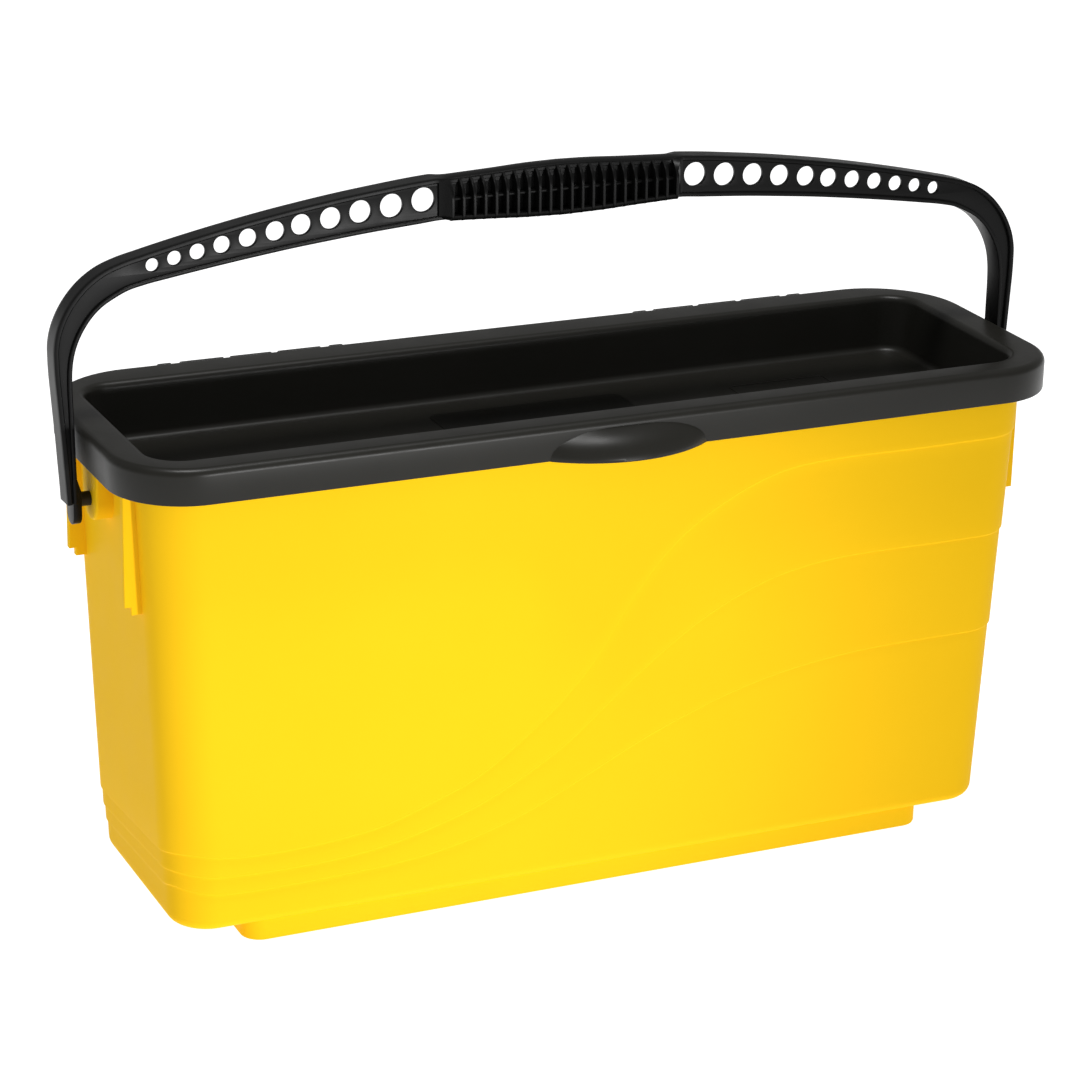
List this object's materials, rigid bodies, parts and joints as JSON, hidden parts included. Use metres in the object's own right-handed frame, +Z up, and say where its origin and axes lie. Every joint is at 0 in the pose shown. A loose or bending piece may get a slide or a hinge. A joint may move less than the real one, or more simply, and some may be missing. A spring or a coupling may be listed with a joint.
{
  "type": "microfiber charging bucket",
  "caption": "Long narrow yellow bucket with hinged black tray lid, folding carrying handle and a lift-out perforated false floor, for charging flat mop pads.",
  "frame": {"origin": "centre of the foot ring, on the floor", "axes": "+X to the bucket's right along its long side, +Y to the rear (hinge side), +Z up"},
  "size_m": [0.6042, 0.2142, 0.4188],
  "materials": {
    "yellow_plastic": "satin",
    "black_plastic": "satin",
    "handle_plastic": "satin",
    "pin_plastic": "satin",
    "steel": "brushed",
    "rubber": "matte",
    "sieve_plastic": "satin"
  },
  "bodies": {
    "tub": {"tub": "yellow_plastic", "hinge_bracket_left": "black_plastic", "hinge_bracket_right": "black_plastic", "hinge_pin_left": "steel", "hinge_pin_right": "steel", "hinge_screws_left": "steel", "hinge_screws_right": "steel"},
    "lid": {"lid": "black_plastic", "lid_seal": "rubber"},
    "handle": {"handle": "handle_plastic", "pivot_pin_left": "pin_plastic", "pivot_pin_right": "pin_plastic"},
    "sieve": {"sieve": "sieve_plastic"}
  },
  "joints": [
    {"name": "lid_open", "type": "hinge", "parent": "tub", "child": "lid", "pos_m": [0, 0.0985, 0.287], "axis": [-1, 0, 0], "range_deg": [0, 90]},
    {"name": "handle_fold_back", "type": "hinge", "parent": "tub", "child": "handle", "pos_m": [0, 0.003, 0.252], "axis": [-1, 0, 0], "range_deg": [0, 132]},
    {"name": "sieve_lift", "type": "slide", "parent": "tub", "child": "sieve", "axis": [0, 0, 1], "range_m": [0, 0.2]}
  ],
  "couplings": [
    {"joint": "handle_fold_back", "follows": "lid_open", "ratio": 1.46}
  ]
}
